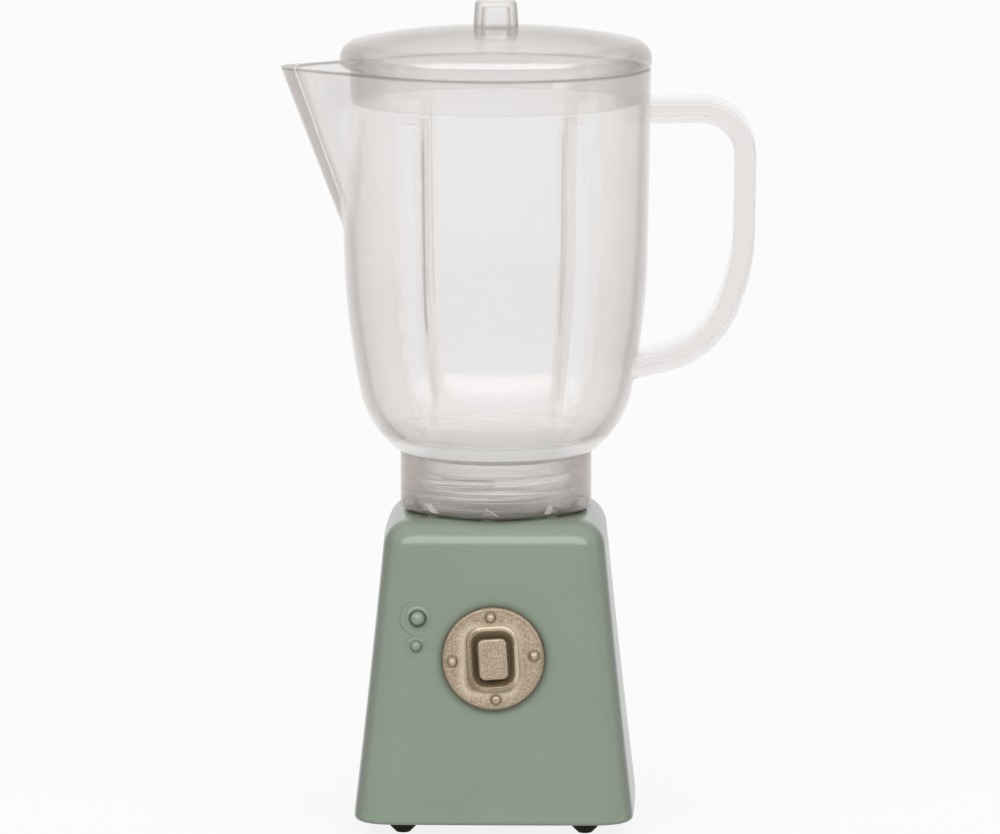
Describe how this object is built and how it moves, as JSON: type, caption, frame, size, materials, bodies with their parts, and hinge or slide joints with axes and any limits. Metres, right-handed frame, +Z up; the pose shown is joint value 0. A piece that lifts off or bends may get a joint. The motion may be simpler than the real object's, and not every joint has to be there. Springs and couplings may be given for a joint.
{
  "type": "toy blender",
  "caption": "Doll-size toy blender: enamelled tapered metal base with a push button, clear jug with spout and strap handle that screws on to it, and a clear domed lid.",
  "frame": {"origin": "on the blender's upright axis, at the surface its feet stand on", "axes": "+Z up, -Y the front with the button, +X the side with the handle"},
  "size_m": [0.0638, 0.0418, 0.1108],
  "materials": {
    "enamel": "glossy sage green enamel",
    "bronze": "satin bronze",
    "clear_plastic": "clear, polished",
    "clear_seal": "clear silicone",
    "dark_rubber": "matte",
    "plated_steel": "zinc plated",
    "inner_plastic": "moulded"
  },
  "bodies": {
    "base": {"base_shell": "enamel", "bottom_plate": "inner_plastic", "bottom_screws": "plated_steel", "foot_front_left": "dark_rubber", "foot_front_right": "dark_rubber", "foot_back_left": "dark_rubber", "foot_back_right": "dark_rubber", "switch_plate": "bronze", "plate_rivets": "bronze", "button_guide": "inner_plastic", "button_spring": "plated_steel", "thread_boss": "clear_plastic", "boss_screw": "plated_steel", "boss_washer": "plated_steel"},
    "button": {"button": "bronze"},
    "seal": {"neck_seal": "clear_seal"},
    "jug": {"jug": "clear_plastic", "handle": "clear_plastic", "neck_collar": "clear_plastic"},
    "lid": {"lid": "clear_plastic"}
  },
  "joints": [
    {"name": "button_press", "type": "slide", "parent": "base", "child": "button", "axis": [0, 0.9944, -0.1061], "range_m": [0, 0.0008], "stiffness_N_per_m": 300, "springref_m": -0.001, "deforming": ["button_spring"]},
    {"name": "jug_lift", "type": "slide", "parent": "base", "child": "seal", "axis": [0, 0, 1], "range_m": [0, 0.0042]},
    {"name": "jug_turn", "type": "hinge", "parent": "seal", "child": "jug", "pos_m": [0, 0, 0.045], "axis": [0, 0, 1], "range_deg": [0, 720]},
    {"name": "lid_lift", "type": "slide", "parent": "jug", "child": "lid", "axis": [0, 0, 1], "range_m": [0, 0.015]}
  ],
  "couplings": [
    {"joint": "jug_lift", "follows": "jug_turn", "m_per_rad": 0.00033423}
  ]
}
